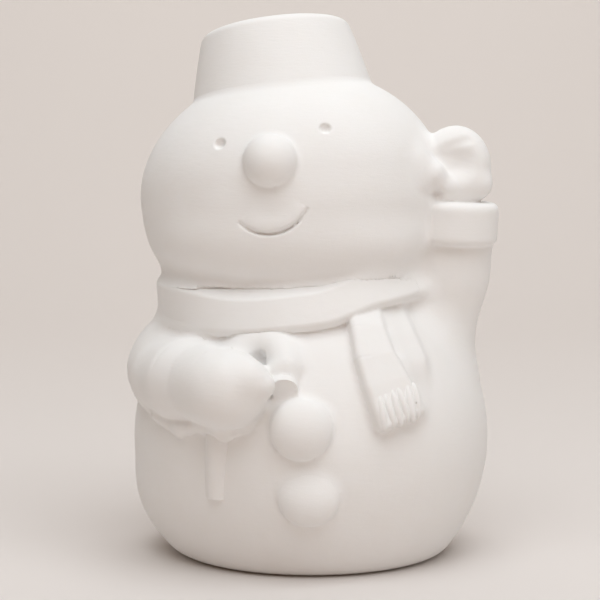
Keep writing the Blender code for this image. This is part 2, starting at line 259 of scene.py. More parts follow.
def collarShape(p):
    q = (p - collar["middle"].astype(np.float32)) @ collar["axes"].astype(np.float32)
    u = np.hypot(q[:, 0] + collar["lean"] * np.maximum(q[:, 2], 0.0), q[:, 1]) - collar["ring"]
    v = q[:, 2] - collarLift(q[:, 0])
    v = np.where(v > 0, v / (1 + collar["stretch"] * ramp(-q[:, 0], 12.0, 38.0)), v)
    core = collar["core"]
    gap = np.full(len(p), 99.0, np.float32)
    deep = np.full(len(p), -99.0, np.float32)
    for (ua, va), (ub, vb) in zip(core, core[1:] + core[:1]):
        along = unit((ub - ua, vb - va))
        t = np.clip((u - ua) * along[0] + (v - va) * along[1], 0.0, np.hypot(ub - ua, vb - va))
        gap = np.minimum(gap, np.hypot(u - ua - t * along[0], v - va - t * along[1]))
        deep = np.maximum(deep, (v - va) * along[0] - (u - ua) * along[1])
    return np.where(deep < 0, deep, gap) - collar["rounding"]


rightArm = {
    "stops": (
        ((-30.0, 6.0, 67.0), 9.0),
        ((-37.0, 2.0, 65.8), 10.6),
        ((-42.0, -4.5, 61.5), 11.2),
        ((-43.4, -11.5, 57.9), 11.5),
        ((-41.8, -22.0, 56.9), 11.3),
        ((-37.0, -34.0, 57.3), 11.2),
        ((-31.0, -43.5, 57.6), 11.0),
    ),
    "seam": (
        ((-50.5, -18.0, 50.4), 1.5),
        ((-45.0, -30.9, 46.4), 1.9),
        ((-38.0, -39.9, 43.6), 2.2),
        ((-31.8, -44.7, 45.6), 1.8),
        ((-25.0, -49.2, 43.9), 2.2),
        ((-18.6, -51.5, 46.6), 1.9),
        ((-14.8, -51.4, 51.0), 1.4),
    ),
    "folds": (
        ((-34.6, -36.0, 57.0), (0.42, -0.90, 0.05), 0.14, 59.0, 63.0),
        ((-25.2, -49.9, 57.8), (0.62, -0.78, 0.12), 0.12, 64.0, 67.0),
    ),
}


def rightArmShape(p):
    out = limb(p, rightArm["stops"], 5.0)
    return softJoin(out, limb(p, rightArm["seam"], 1.5), 1.2)


def armFolds(p, skin):
    # shallow creases round the sleeve, fading out below
    for centre, ahead, depth, low, high in rightArm["folds"]:
        q = p - np.asarray(centre, np.float32)
        gap = q @ unit(ahead).astype(np.float32)
        near = np.linalg.norm(q, axis=1) < 16
        skin = skin + depth * np.exp(-((gap / 0.7) ** 2)) * ramp(p[:, 2], low, high) * near
    return skin


rightMitten = {
    "middle": (-23.8, -53.3, 57.2),
    "size": (11.8, 11.6, 11.4),
    "thumb": (
        ((-23.0, -58.5, 60.2), 5.0),
        ((-18.0, -59.5, 61.0), 4.6),
        ((-14.2, -59.3, 59.2), 3.8),
    ),
}


def rightMittenShape(p):
    palm = egg(p, rightMitten["middle"], rightMitten["size"])
    return softJoin(palm, limb(p, rightMitten["thumb"], 2.0), 3.5)


cane = {
    "radius": 3.9,
    "hookMiddle": (-14.9, 62.6),
    "hookRadius": 7.2,
    "shaft": ((-28.1, 24.5, -2.4), (-27.9, 33.0, -2.0), (-27.2, 41.7, -1.0), (-24.9, 52.5, 1.5)),
    "recess": ((-14.1, 64.8, -0.2), (3.3, 2.0, 2.5)),
}
caneRoute = [onBody(*row) for row in cane["shaft"]]
for step in range(12):
    turn = pi - pi * step / 11
    spotX = cane["hookMiddle"][0] + cane["hookRadius"] * cos(turn)
    spotZ = cane["hookMiddle"][1] + cane["hookRadius"] * sin(turn)
    caneRoute.append(onBody(spotX, spotZ, -1.6 + 3.0 * max(0.0, step - 6) / 5))
for drop in ((0.0, -0.5, -3.0), (0.0, -1.4, -1.8), (0.0, -2.2, -1.5)):
    caneRoute.append(caneRoute[-1] + np.array(drop))


def caneShape(p):
    out = np.full(len(p), 99.0, np.float32)
    for a, b in zip(caneRoute, caneRoute[1:]):
        out = np.minimum(out, roll(p, a, b, cane["radius"], cane["radius"]))
    a, b = caneRoute[-2], caneRoute[-1]
    face = (p - b.astype(np.float32)) @ unit((0.0, -0.83, -0.56)).astype(np.float32)
    return np.maximum(out, face)


leftArm = {
    "stops": (
        ((28.0, -4.0, 50.0), 11.5),
        ((35.0, -4.2, 61.5), 12.2),
        ((39.4, -5.0, 75.0), 11.0),
        ((41.8, -6.6, 86.0), 11.6),
        ((43.0, -7.8, 95.6), 12.4),
    ),
}


def leftArmShape(p):
    return limb(p, leftArm["stops"], 5.0)


cuff = {
    "middle": (43.4, -12.0, 102.8),
    "axes": lean(3.0, 3.0),
    "size": (13.2, 12.2),
    "tall": 6.5,
    "edge": 2.8,
}


def cuffShape(p):
    q = (p - np.asarray(cuff["middle"], np.float32)) @ cuff["axes"].astype(np.float32)
    wide, deep = cuff["size"]
    r = np.sqrt((q[:, 0] / wide) ** 2 + (q[:, 1] / deep) ** 2)
    return softCut((r - 1) * deep, cuff["tall"] - np.abs(q[:, 2]), cuff["edge"])


leftMitten = {
    "middle": (43.3, -12.5, 119.0),
    "size": (11.0, 8.2, 12.9),
    "palm": (((43.8, -24.0, 120.8), (7.8, 6.4, 6.8)), ((37.5, -22.0, 122.6), (5.0, 3.2, 3.0))),
    "fingerFold": (
        ((34.6, -20.6, 123.6), 1.5),
        ((41.0, -21.0, 126.0), 1.8),
        ((47.2, -18.8, 128.0), 1.1),
    ),
    "heel": (((36.8, -16.9, 112.4), 4.2), ((50.2, -14.6, 114.2), 4.3)),
    "thumb": (
        ((32.8, -20.4, 119.6), 3.8),
        ((35.8, -20.8, 117.4), 3.7),
        ((39.0, -19.2, 113.8), 3.3),
    ),
    "hollow": ((34.6, -22.2, 111.4), (4.6, 3.8, 2.3)),
}


def leftMittenShape(p):
    out = egg(p, leftMitten["middle"], leftMitten["size"], lean(4.0, 0.0))
    for centre, radii in leftMitten["palm"]:
        out = softCut(out, egg(p, centre, radii, lean(-12.0, 0.0)), 3.0)
    out = softCut(out, limb(p, leftMitten["fingerFold"], 0.8), 1.6)
    out = softJoin(out, limb(p, leftMitten["heel"], 1.0), 2.2)
    out = softJoin(out, limb(p, leftMitten["thumb"], 1.5), 2.2)
    return softCut(out, egg(p, *leftMitten["hollow"]), 1.6)


tails = {
    "scarfTail": {
        "route": (
            (13.7, 79.0, 4.7),
            (15.4, 71.5, 5.2),
            (17.4, 64.3, 6.1),
            (20.3, 57.4, 7.0),
            (22.7, 51.7, 7.6),
            (24.2, 48.0, 7.8),
        ),
        "lift": 1.5,
        "thick": 2.7,
        "sink": 0.0,
    },
    "scarfUnderTail": {
        "route": (
            (22.6, 78.5, 4.0),
            (26.2, 70.0, 4.6),
            (29.2, 63.5, 4.4),
            (31.0, 57.5, 3.4),
            (32.0, 52.0, 2.4),
        ),
        "lift": -1.1,
        "thick": 2.4,
        "sink": 3.6,
    },
}


def stripShape(name):
    # a flat strip of clay laid down the body
    strip = tails[name]
    stops = [(onBody(x, z), half) for x, z, half in strip["route"]]
    foot = strip["route"][-1][1] + 2.0

    def shape(p):
        best = np.full(len(p), 99.0, np.float32)
        for (a, wa), (b, wb) in zip(stops, stops[1:]):
            along = (b - a).astype(np.float32)
            length = np.linalg.norm(along)
            ahead = along / length
            q = p - a.astype(np.float32)
            t = np.clip(q @ ahead / length, 0, 1)
            centre = a.astype(np.float32) + t[:, None] * along
            out = centre - bodyMiddle.astype(np.float32)
            out /= np.linalg.norm(out, axis=1, keepdims=True)
            across = np.cross(out, ahead)
            q = p - centre
            half = wa + (wb - wa) * t
            u = np.abs((q * across).sum(1)) - (half - 1.8)
            lift = strip["lift"] - strip["sink"] * ramp(foot + 10.0 - p[:, 2], 0.0, 10.0)
            v = np.abs((q * out).sum(1) - lift) - (strip["thick"] - 1.8)
            w = q @ ahead
            gap = np.sqrt(np.maximum(u, 0) ** 2 + np.maximum(v, 0) ** 2 + w * w) - 1.8
            gap = gap + np.minimum(np.maximum(u, v), 0.0) * (np.abs(w) < 1e-3)
            best = np.minimum(best, gap)
        return best

    return shape


hat = {
    "base": np.array([-8.8, 3.8, 141.2]),
    "axes": lean(-6.8, -8.5),
    "baseRadius": 27.9,
    "topRadius": 22.8,
    "height": 20.9,
    "rim": 3.2,
    "wall": 4.0,
}


def hatShape(p):
    q = (p - hat["base"].astype(np.float32)) @ hat["axes"].astype(np.float32)
    slope = (hat["baseRadius"] - hat["topRadius"]) / hat["height"]
    radius = hat["baseRadius"] - slope * q[:, 2]
    wall = (np.hypot(q[:, 0], q[:, 1]) - radius) / np.sqrt(1 + slope**2)
    return np.maximum(np.maximum(wall, q[:, 2] - hat["height"]), -5.0 - q[:, 2])


# how the pieces run together: order, piece, and how wide the fillet is

shapes = {
    "bodyShell": bodyShape,
    "rightArm": rightArmShape,
    "rightMitten": rightMittenShape,
    "leftArm": leftArmShape,
    "scarfTail": stripShape("scarfTail"),
    "scarfUnderTail": stripShape("scarfUnderTail"),
    "candyCane": caneShape,
    "upperButton": buttonShape("upperButton"),
    "lowerButton": buttonShape("lowerButton"),
    "scarfCollar": collarShape,
    "headShell": headShape,
    "nose": noseShape,
    "leftCuff": cuffShape,
    "leftMitten": leftMittenShape,
    "hatShell": hatShape,
}
reach = {  # a ball around each piece: beyond it, the distance to the ball is near enough
    "rightArm": ((-34, -22, 56), 42),
    "rightMitten": ((-22, -54, 56), 20),
    "leftArm": ((37, -6, 78), 46),
    "scarfTail": ((20, -41, 62), 24),
    "scarfUnderTail": ((27, -36, 68), 20),
    "candyCane": ((-19, -49, 48), 34),
    "upperButton": ((-3, -54, 46), 12),
    "lowerButton": ((-1, -54, 25), 12),
    "nose": ((-12, -43, 121), 12),
    "leftCuff": ((43.6, -9.5, 102), 20),
    "leftMitten": ((42, -12, 119), 20),
    "hatShell": ((-10, 5, 150), 36),
}


def shapeAt(name, p):
    if name not in reach:
        return shapes[name](p)
    centre, size = reach[name]
    gap = np.linalg.norm(p - np.asarray(centre, np.float32), axis=1) - size
    out = gap + 4.0
    close = gap < 10.0
    if close.any():
        out[close] = shapes[name](p[close])
    return out.astype(np.float32)


def fillet(name, p):
    x, z = p[:, 0], p[:, 2]
    if name == "rightArm":
        return 1.0 + 3.5 * ramp(z, 46.5, 53.0)
    if name == "rightMitten":
        return 1.2 + 6.3 * ramp(-x, 21.0, 30.0)
    if name == "leftArm":
        return 9.0
    if name == "scarfTail":
        return 1.6 + 5.0 * ramp(x - (16.5 + 0.42 * (72 - z)), 2.0, 7.0)
    if name == "scarfUnderTail":
        return 4.5
    if name == "candyCane":
        return 1.4 + 2.2 * ramp(50.0 - z, 0.0, 12.0) + 4.0 * ramp(z, 58.0, 64.0)
    if name in ("upperButton", "lowerButton"):
        base = 40.0 if name == "upperButton" else 20.0
        return 0.8 + 2.2 * ramp(z, base, base + 12.0)
    if name == "scarfCollar":
        return 0.7 + 3.5 * ramp(-x, 24.0, 40.0) + 5.0 * ramp(x, 22.0, 34.0)
    if name == "headShell":
        return 4.6 + 1.0 * ramp(x, 27.0, 34.0)
    if name == "nose":
        return 1.3
    if name == "leftCuff":
        return 1.0 + 3.0 * ramp(38.0 - x, 0.0, 6.0)
    if name == "leftMitten":
        return 1.0 + (2.5 + 3.0 * ramp(38.0 - x, 0.0, 6.0)) * ramp(z, 108.0, 114.0)
    return 1.2


def clayFields(p):
    # the whole figure's skin, and each piece's own distance
    own = {name: shapeAt(name, p) for name in shapes}
    whole = own["bodyShell"]
    for name in list(shapes)[1:]:
        whole = softJoin(whole, own[name], fillet(name, p))
        if name == "candyCane":
            spot, size = cane["recess"]
            whole = softCut(whole, egg(p, onBody(*spot), size), 1.2)
    return whole, own


lap = {"width": 1.7, "dip": 0.06, "leastAtCollar": 1.0}


def pieceField(name, pressed=None):
    # the figure's skin inside the region nearest to this piece; it dips just under its neighbours

    def field(p):
        whole, own = clayFields(p)
        if pressed is not None:
            whole = pressed(p, whole)
        others = np.min([d for other, d in own.items() if other != name], axis=0)
        edge = own[name] - others - lapShift(name, p, own)
        dip = lap["dip"] * np.clip((edge + lap["width"]) / (2 * lap["width"]), 0, 1.5) ** 2
        return np.maximum(whole + dip, (edge - lap["width"]) * 0.6)

    return field


turnedPieces = ("hatShell", "scarfCollar", "candyCane")


def lapShift(name, p, own):
    # a fillet against a turned piece belongs wholly to its neighbour
    if name in turnedPieces:
        return 0.0
    shift = np.zeros(len(p), np.float32)
    for other in turnedPieces:
        nearest = own[other] <= np.min([d for n, d in own.items() if n != other], axis=0) + 0.01
        width = fillet(other, p)
        if other == "scarfCollar":
            width = np.maximum(width, lap["leastAtCollar"])
        shift = np.where(nearest, width, shift)
    return shift


def bodyPressed(p, whole):
    # pour hole and a hollow in the lower body; the upper body is left solid
    hole = np.hypot(p[:, 0], p[:, 1]) - body["pourHole"]
    hole = np.maximum(hole, p[:, 2] - 30.0)
    hollow = np.maximum(egg(p, *body["hollow"]), 5.0 - p[:, 2])
    return softCut(whole, softJoin(hole, hollow, 2.0), 1.5)


# skinning: turns a distance field into a mesh with no open edge


blockCells = 4  # the field is first looked at in blocks this many cells wide
pointsAtOnce = 400000


def blocks(low, high, cell):
    return np.ceil((high - low) / (blockCells * cell)).astype(int)


def skinField(field, low, high, cell):
    # vertices and quads of the field's skin inside the box
    low, high = np.asarray(low, float), np.asarray(high, float)
    n = blocks(low, high, cell)
    grid = np.stack(np.meshgrid(*[np.arange(k) for k in n], indexing="ij"), -1).reshape(-1, 3)
    centres = (low + (grid + 0.375) * blockCells * cell).astype(np.float32)
    coarse = field(centres)
    size = n * blockCells
    values = np.sign(coarse).reshape(n)
    for axis in range(3):
        values = np.repeat(values, blockCells, axis)
    values = values.astype(np.float32) * 50
    keep = np.abs(coarse) < blockCells * cell * 1.25
    inner = np.stack(np.meshgrid(*[np.arange(blockCells)] * 3, indexing="ij"), -1).reshape(-1, 3)
    nodes = (grid[keep][:, None, :] * blockCells + inner[None]).reshape(-1, 3)
    parts = np.array_split(nodes, max(1, len(nodes) // pointsAtOnce))
    found = np.concatenate([field((low + part * cell).astype(np.float32)) for part in parts])
    values[nodes[:, 0], nodes[:, 1], nodes[:, 2]] = found
    for axis in range(3):
        side = [slice(None)] * 3
        for end in (0, -1):
            side[axis] = end
            values[tuple(side)] = np.maximum(values[tuple(side)], 0.01)
    inside = values < 0
    corner = [(i, j, k) for i in (0, 1) for j in (0, 1) for k in (0, 1)]
    total = np.zeros(size - 1, np.int8)
    for i, j, k in corner:
        total += inside[i : size[0] - 1 + i, j : size[1] - 1 + j, k : size[2] - 1 + k]
    cells = np.argwhere((total > 0) & (total < 8))
    x, y, z = cells.T
    around = np.stack([values[x + i, y + j, z + k] for i, j, k in corner], 1)
    spot = np.zeros((len(cells), 3))
    hits = np.zeros(len(cells))
    for a in range(8):
        for b in range(a + 1, 8):
            if sum(abs(u - v) for u, v in zip(corner[a], corner[b])) != 1:
                continue
            fa, fb = around[:, a], around[:, b]
            cross = (fa < 0) != (fb < 0)
            t = np.where(cross, fa / np.where(cross, fa - fb, 1), 0)[:, None]
            where = np.array(corner[a]) + t * (np.array(corner[b]) - np.array(corner[a]))
            spot += where * cross[:, None]
            hits += cross
    points = low + (cells + spot / hits[:, None]) * cell
    index = np.full(size - 1, -1, np.int64)
    index[cells[:, 0], cells[:, 1], cells[:, 2]] = np.arange(len(cells))
    quads = []
    for axis in range(3):
        u, v = (axis + 1) % 3, (axis + 2) % 3
        a = np.moveaxis(inside, (axis, u, v), (0, 1, 2))
        cellIndex = np.moveaxis(index, (axis, u, v), (0, 1, 2))
        change = a[:-1, 1:-1, 1:-1] != a[1:, 1:-1, 1:-1]
        e = np.argwhere(change)
        i, j, k = e[:, 0], e[:, 1], e[:, 2]
        turn = ((0, 0), (1, 0), (1, 1), (0, 1))
        quad = np.stack([cellIndex[i, j + dj, k + dk] for dj, dk in turn], 1)
        outward = a[:-1, 1:-1, 1:-1][i, j, k]
        quad[~outward] = quad[~outward][:, ::-1]
        quads.append(quad)
    return points, np.concatenate(quads)


def biggestIsland(points, quads):
    # drops any crumb that isn't joined to the main skin
    ends = np.concatenate([quads[:, [0, 1]], quads[:, [1, 2]], quads[:, [2, 3]]])
    label = np.arange(len(points))
    while True:
        a, b = label[ends[:, 0]], label[ends[:, 1]]
        if (a == b).all():
            break
        low = np.minimum(a, b)
        np.minimum.at(label, a, low)
        np.minimum.at(label, b, low)
        label = label[label]
    names, count = np.unique(label, return_counts=True)
    keep = label == names[np.argmax(count)]
    fresh = np.cumsum(keep) - 1
    return points[keep], fresh[quads[keep[quads[:, 0]]]]


def settle(points, field, cell, rounds=2):
    # slides the vertices onto the skin itself
    tips = np.array([[1, 1, 1], [1, -1, -1], [-1, 1, -1], [-1, -1, 1]], np.float32)
    step = 0.06
    for _ in range(rounds):
        p = points.astype(np.float32)
        parts = [field(p + tip * step) for tip in tips]
        slope = sum(v[:, None] * tip for v, tip in zip(parts, tips)) / (4 * step)
        value = sum(parts) / 4
        move = -value[:, None] * slope / np.maximum((slope**2).sum(1, keepdims=True), 0.2)
        length = np.linalg.norm(move, axis=1, keepdims=True)
        points = points + move * np.minimum(1, 0.5 * cell / np.maximum(length, 1e-6))
    return points


def makeMesh(name, points, faces):
    mesh = bpy.data.meshes.new(name)
    mesh.from_pydata(((points + footMiddle) * mm).tolist(), [], faces.tolist())
    mesh.polygons.foreach_set("use_smooth", [True] * len(mesh.polygons))
    mesh.update()
    piece = bpy.data.objects.new(name, mesh)
    bpy.context.scene.collection.objects.link(piece)
    return piece


def refine(piece, wanted, field, cuts, cell):
    # splits the faces that wanted() picks and settles the new vertices
    bm = bmesh.new()
    bm.from_mesh(piece.data)
    centres = np.array([f.calc_center_median() for f in bm.faces]) / mm - footMiddle
    picked = wanted(centres.astype(np.float32))
    bm.faces.ensure_lookup_table()
    edges = {e for k in np.nonzero(picked)[0] for e in bm.faces[k].edges}
    bmesh.ops.subdivide_edges(bm, edges=list(edges), cuts=cuts, use_grid_fill=True)
    bmesh.ops.triangulate(bm, faces=[f for f in bm.faces if len(f.verts) > 4])
    points = np.array([v.co for v in bm.verts]) / mm - footMiddle
    touched = wanted(points.astype(np.float32))
    points[touched] = settle(points[touched], field, cell, 3)
    for v, p in zip(bm.verts, (points + footMiddle) * mm):
        v.co = p
    for f in bm.faces:
        f.smooth = True
    bm.to_mesh(piece.data)
    bm.free()


skinned = {  # piece: CAD nodes it stands for, cell size, box margin
    "bodyShell": {"nodes": ["body_shell"], "cell": 1.0},
    "headShell": {"nodes": ["head_shell"], "cell": 0.8},
    "rightArm": {"nodes": ["right_arm"], "cell": 0.48, "margin": 14.0},
    "rightMitten": {"nodes": ["right_mitten"], "cell": 0.5},
    "leftArm": {"nodes": ["left_arm"], "cell": 0.6},
    "leftCuff": {"nodes": ["left_cuff"], "cell": 0.5},
    "leftMitten": {"nodes": ["left_mitten"], "cell": 0.42},
    "scarfTail": {"nodes": ["scarf_tail"], "cell": 0.42},
    "scarfUnderTail": {"nodes": ["scarf_tail_under"], "cell": 0.45},
    "upperButton": {"nodes": ["upper_button"], "cell": 0.45},
    "lowerButton": {"nodes": ["lower_button"], "cell": 0.45},
    "nose": {"nodes": ["nose"], "cell": 0.42},
}
pressed = {
    "bodyShell": bodyPressed,
    "headShell": faceDetail,
    "rightArm": armFolds,
    "rightMitten": armFolds,
}
madePieces = {}
for name, plan in skinned.items():
    low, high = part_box(plan["nodes"][0])
    margin = plan.get("margin", 6.0)
    low = np.array(low) / mm - footMiddle - margin
    high = np.array(high) / mm - footMiddle + margin
    low[2] = max(low[2], -1.5)
    cell = plan["cell"] * 1.0
    field = pieceField(name, pressed.get(name))
    points, quads = biggestIsland(*skinField(field, low, high, cell))
    points = settle(points, field, cell)
    madePieces[name] = makeMesh(name, points, quads)
    print(f"stage: {name} skinned, {len(quads)} quads")


def nearSmile(c):
    gap, _ = smileGap(c)
    eyes = [headPoint(x, z, 0.0).astype(np.float32) for x, z in face["eyes"]]
    spots = [np.linalg.norm(c - eye, axis=1) for eye in eyes]
    return (gap < 1.9) | (np.min(spots, axis=0) < 3.4)


refine(madePieces["headShell"], nearSmile, pieceField("headShell", faceDetail), 2, 0.3)
print("stage: eyes and smile cut fine")

# turned and rolled pieces


def newTree(name, sizes):
    # a node tree with a geometry input, named sizes and a geometry output
    tree = bpy.data.node_groups.new(name, "GeometryNodeTree")
    tree.interface.new_socket("Geometry", in_out="INPUT", socket_type="NodeSocketGeometry")
    for label, kind, value in sizes:
        socket = tree.interface.new_socket(label, in_out="INPUT", socket_type=kind)
        if value is not None:
            socket.default_value = value
    tree.interface.new_socket("Geometry", in_out="OUTPUT", socket_type="NodeSocketGeometry")
    return tree, tree.nodes.new("NodeGroupInput"), tree.nodes.new("NodeGroupOutput")


def finishTree(tree, geometry, groupIn, groupOut):
    smooth = tree.nodes.new("GeometryNodeSetShadeSmooth")
    realize = tree.nodes.new("GeometryNodeRealizeInstances")
    paint = tree.nodes.new("GeometryNodeSetMaterial")
    tree.links.new(geometry, smooth.inputs["Geometry"])
    tree.links.new(smooth.outputs["Geometry"], realize.inputs["Geometry"])
    tree.links.new(realize.outputs["Geometry"], paint.inputs["Geometry"])
    tree.links.new(groupIn.outputs["Clay"], paint.inputs["Material"])
    tree.links.new(paint.outputs["Geometry"], groupOut.inputs["Geometry"])


def wheelTree():
    # sweeps the closed profile once round the turning circle
    sizes = [
        ("Turning radius", "NodeSocketFloat", 0.03),
        ("Sides", "NodeSocketInt", 128),
        ("Clay", "NodeSocketMaterial", None),
    ]
    tree, groupIn, groupOut = newTree("turnOnWheel", sizes)
    circle = tree.nodes.new("GeometryNodeCurvePrimitiveCircle")
    upright = tree.nodes.new("GeometryNodeSetCurveNormal")
    upright.mode = "Z_UP"
    sweep = tree.nodes.new("GeometryNodeCurveToMesh")
    weld = tree.nodes.new("GeometryNodeMergeByDistance")
    weld.inputs["Distance"].default_value = 0.00002
    tree.links.new(groupIn.outputs["Turning radius"], circle.inputs["Radius"])
    tree.links.new(groupIn.outputs["Sides"], circle.inputs["Resolution"])
    tree.links.new(circle.outputs["Curve"], upright.inputs["Curve"])
    tree.links.new(upright.outputs["Curve"], sweep.inputs["Curve"])
    tree.links.new(groupIn.outputs["Geometry"], sweep.inputs["Profile Curve"])
    tree.links.new(sweep.outputs["Mesh"], weld.inputs["Geometry"])
    finishTree(tree, weld.outputs["Geometry"], groupIn, groupOut)
    return tree


def rollTree():
    # rolls clay along the route, closed at both ends
    sizes = [
        ("Steps", "NodeSocketInt", 96),
        ("Thickness", "NodeSocketFloat", 0.004),
        ("Sides", "NodeSocketInt", 40),
        ("Clay", "NodeSocketMaterial", None),
    ]
    tree, groupIn, groupOut = newTree("rollAlongRoute", sizes)
    even = tree.nodes.new("GeometryNodeResampleCurve")
    ring = tree.nodes.new("GeometryNodeCurvePrimitiveCircle")
    sweep = tree.nodes.new("GeometryNodeCurveToMesh")
    sweep.inputs["Fill Caps"].default_value = True
    tree.links.new(groupIn.outputs["Geometry"], even.inputs["Curve"])
    tree.links.new(groupIn.outputs["Steps"], even.inputs["Count"])
    tree.links.new(groupIn.outputs["Thickness"], ring.inputs["Radius"])
    tree.links.new(groupIn.outputs["Sides"], ring.inputs["Resolution"])
    tree.links.new(even.outputs["Curve"], sweep.inputs["Curve"])
    tree.links.new(ring.outputs["Curve"], sweep.inputs["Profile Curve"])
    finishTree(tree, sweep.outputs["Mesh"], groupIn, groupOut)
    return tree


def strandTree():
    # sets one clay strand at each step along the hem, no two quite alike
    sizes = [
        ("Strands", "NodeSocketInt", 6),
        ("Strand size", "NodeSocketVector", (0.001, 0.004, 0.001)),
        ("Unevenness", "NodeSocketFloat", 0.1),
        ("Seed", "NodeSocketInt", 3),
        ("Clay", "NodeSocketMaterial", None),
    ]
    tree, groupIn, groupOut = newTree("fringeAlongHem", sizes)
    even = tree.nodes.new("GeometryNodeResampleCurve")
    strand = tree.nodes.new("GeometryNodeMeshUVSphere")
    strand.inputs["Segments"].default_value = 20
    strand.inputs["Rings"].default_value = 16
    strand.inputs["Radius"].default_value = 1.0
    place = tree.nodes.new("GeometryNodeInstanceOnPoints")
    tilt = tree.nodes.new("FunctionNodeRandomValue")
    tilt.data_type = "FLOAT_VECTOR"
    tilt.inputs["Min"].default_value = (-0.05, 0.0, -0.09)
    tilt.inputs["Max"].default_value = (0.05, 0.0, 0.09)
    spread = tree.nodes.new("FunctionNodeRandomValue")
    low = tree.nodes.new("ShaderNodeMath")
    low.operation = "SUBTRACT"
    low.inputs[0].default_value = 1.0
    high = tree.nodes.new("ShaderNodeMath")
    high.inputs[0].default_value = 1.0
    resize = tree.nodes.new("ShaderNodeVectorMath")
    resize.operation = "SCALE"
    tree.links.new(groupIn.outputs["Geometry"], even.inputs["Curve"])
    tree.links.new(groupIn.outputs["Strands"], even.inputs["Count"])
    tree.links.new(even.outputs["Curve"], place.inputs["Points"])
    tree.links.new(strand.outputs["Mesh"], place.inputs["Instance"])
    tree.links.new(groupIn.outputs["Seed"], tilt.inputs["Seed"])
    tree.links.new(groupIn.outputs["Seed"], spread.inputs["Seed"])
    tree.links.new(groupIn.outputs["Unevenness"], low.inputs[1])
    tree.links.new(groupIn.outputs["Unevenness"], high.inputs[1])
    tree.links.new(low.outputs[0], spread.inputs[2])
    tree.links.new(high.outputs[0], spread.inputs[3])
    tree.links.new(groupIn.outputs["Strand size"], resize.inputs[0])
    tree.links.new(spread.outputs[1], resize.inputs["Scale"])
    tree.links.new(tilt.outputs[0], place.inputs["Rotation"])
    tree.links.new(resize.outputs[0], place.inputs["Scale"])
    finishTree(tree, place.outputs["Instances"], groupIn, groupOut)
    return tree


def guideCurve(name, points, closed=False):
    # a poly curve through points given in millimetres
    data = bpy.data.curves.new(name, "CURVE")
    data.dimensions = "3D"
    spline = data.splines.new("POLY")
    spline.points.add(len(points) - 1)
    for target, p in zip(spline.points, points):
        target.co = (*(np.asarray(p, float) * mm), 1.0)
    spline.use_cyclic_u = closed
    guide = bpy.data.objects.new(name, data)
    bpy.context.scene.collection.objects.link(guide)
    return guide


def growPiece(name, guide, tree, sizes, place):
    # runs the tree on the guide and keeps the result as a plain mesh in its place
    step = guide.modifiers.new(tree.name, "NODES")
    step.node_group = tree
    sockets = {s.name: s.identifier for s in tree.interface.items_tree if s.in_out == "INPUT"}
    for label, value in sizes.items():
        step[sockets[label]] = value
    bpy.context.view_layer.update()
    graph = bpy.context.evaluated_depsgraph_get()
    mesh = bpy.data.meshes.new_from_object(guide.evaluated_get(graph), depsgraph=graph)
    guide.modifiers.remove(step)
    bpy.data.objects.remove(guide)
    mesh.name = name
    mesh.transform(place)
    bm = bmesh.new()
    bm.from_mesh(mesh)
    bmesh.ops.remove_doubles(bm, verts=bm.verts, dist=0.000001)
    bmesh.ops.recalc_face_normals(bm, faces=bm.faces)
    bm.to_mesh(mesh)
    bm.free()
    piece = bpy.data.objects.new(name, mesh)
    bpy.context.scene.collection.objects.link(piece)
    return piece


def placing(middle, axes):
    # matrix from a piece's own axes to the figure, in metres
    out = Matrix([list(row) + [0.0] for row in axes] + [[0, 0, 0, 1]])
    out.translation = Vector((np.asarray(middle, float) + footMiddle) * mm)
    return out


# bisque clay


def addNode(tree, kind, **values):
    node = tree.nodes.new(kind)
    for key, value in values.items():
        if key in node.inputs:
            node.inputs[key].default_value = value
        else:
            setattr(node, key, value)
    return node


